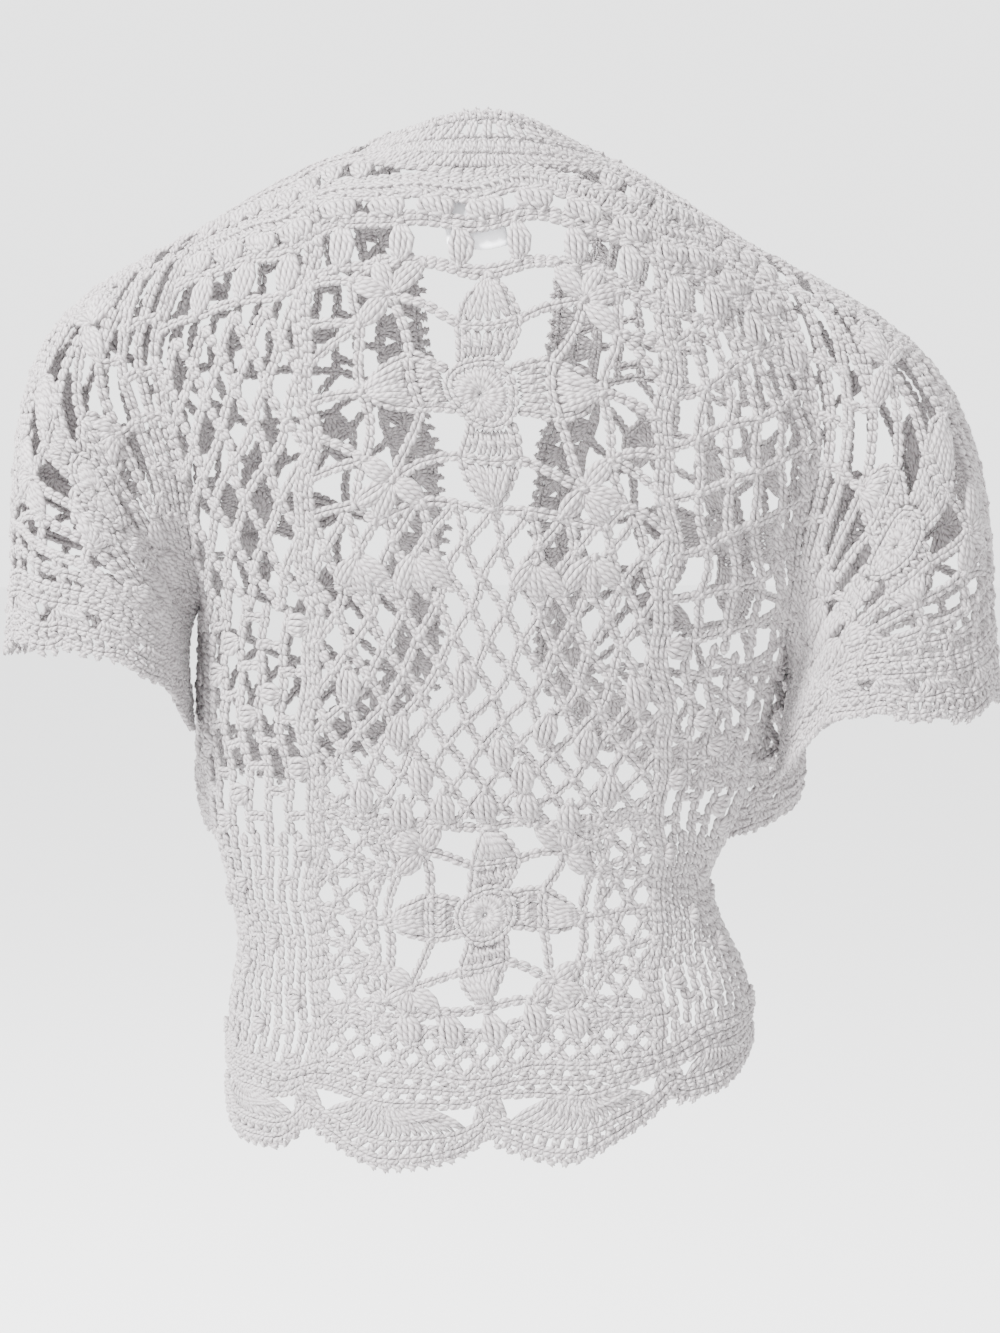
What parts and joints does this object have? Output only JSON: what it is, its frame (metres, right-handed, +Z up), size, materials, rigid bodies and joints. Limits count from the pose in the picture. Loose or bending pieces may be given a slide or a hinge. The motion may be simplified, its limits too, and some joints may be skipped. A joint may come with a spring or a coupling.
{
  "type": "crochet lace shrug",
  "caption": "White cotton crochet lace shrug with short sleeves, an open front, a raised neck band and a scalloped hem, in its worn shape.",
  "frame": {"origin": "the middle of the neck opening, level with the two side neck points, where the garment hangs from its wearer", "axes": "+Z up, -Y the way the open front faces, +X to the wearer's left; metres"},
  "size_m": [0.4964, 0.2238, 0.5043],
  "materials": {
    "cotton_yarn": "white mercerised cotton yarn, crocheted, soft sheen",
    "label_satin": "plain white woven satin tape, blank"
  },
  "bodies": {
    "root": {"back": "cotton_yarn", "hem_edging": "cotton_yarn", "front_left": "cotton_yarn", "front_right": "cotton_yarn", "border_left": "cotton_yarn", "border_right": "cotton_yarn", "sleeve_left_back": "cotton_yarn", "sleeve_left_front": "cotton_yarn", "sleeve_right_back": "cotton_yarn", "sleeve_right_front": "cotton_yarn", "cuff_left_back": "cotton_yarn", "cuff_left_front": "cotton_yarn", "cuff_right_back": "cotton_yarn", "cuff_right_front": "cotton_yarn", "neck_band": "cotton_yarn", "neck_label": "label_satin"}
  },
  "joints": []
}
